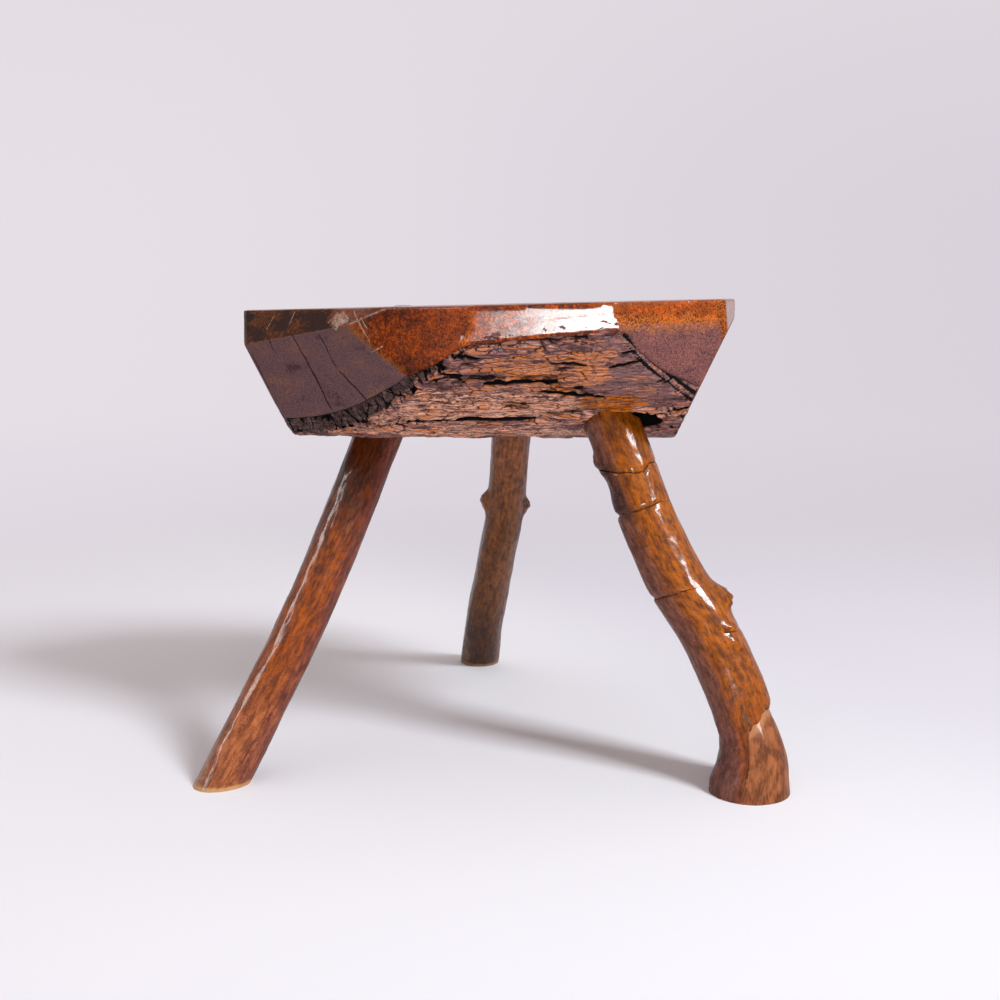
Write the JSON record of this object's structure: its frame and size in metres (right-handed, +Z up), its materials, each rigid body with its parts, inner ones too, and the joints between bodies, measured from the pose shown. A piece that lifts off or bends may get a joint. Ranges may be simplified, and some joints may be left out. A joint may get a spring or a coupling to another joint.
{
  "type": "milking stool",
  "caption": "Low rustic milking stool: a hewn half-log seat with its bark left on below, on splayed branch legs whose peeled ends are wedged in through holes.",
  "frame": {"origin": "on the floor, at the middle of the bottom of the overall box", "axes": "+Z up; +X to the right as the stool is seen from its front, along the log's grain; +Y from the front to the rear leg"},
  "size_m": [0.3671, 0.3537, 0.3011],
  "materials": {
    "seat_wood": "oiled, worn glossy on the hewn edges",
    "seat_bark": "rough cracked bark",
    "leg_wood": "bare peeled branch",
    "leg_bark": "smooth varnished bark",
    "wedge_wood": "split wedge, darkened with age"
  },
  "bodies": {
    "root": {"seat_slab": "seat_wood", "bark_front_left": "seat_bark", "bark_front_middle": "seat_bark", "bark_front_right": "seat_bark", "bark_left_rim": "seat_bark", "bark_front_strip": "seat_bark", "bark_right_corner": "seat_bark", "bark_lower_left": "seat_bark", "bark_lower_strip": "seat_bark", "bark_lower_right": "seat_bark", "bark_under_left": "seat_bark", "bark_under_middle": "seat_bark", "bark_under_right": "seat_bark", "bark_rear_lower_left": "seat_bark", "bark_rear_lower_right": "seat_bark", "bark_rear_upper_left": "seat_bark", "bark_rear_upper_right": "seat_bark", "leg_left_core": "leg_wood", "wedge_left": "wedge_wood", "leg_right_core": "leg_wood", "wedge_right": "wedge_wood", "leg_rear_core": "leg_wood", "wedge_rear": "wedge_wood", "leg_left_bark": "leg_bark", "leg_rear_bark": "leg_bark", "leg_right_bark_1": "leg_bark", "leg_right_bark_2": "leg_bark", "leg_right_bark_3": "leg_bark", "leg_right_bark_4": "leg_bark", "leg_right_bark_5": "leg_bark"}
  },
  "joints": []
}
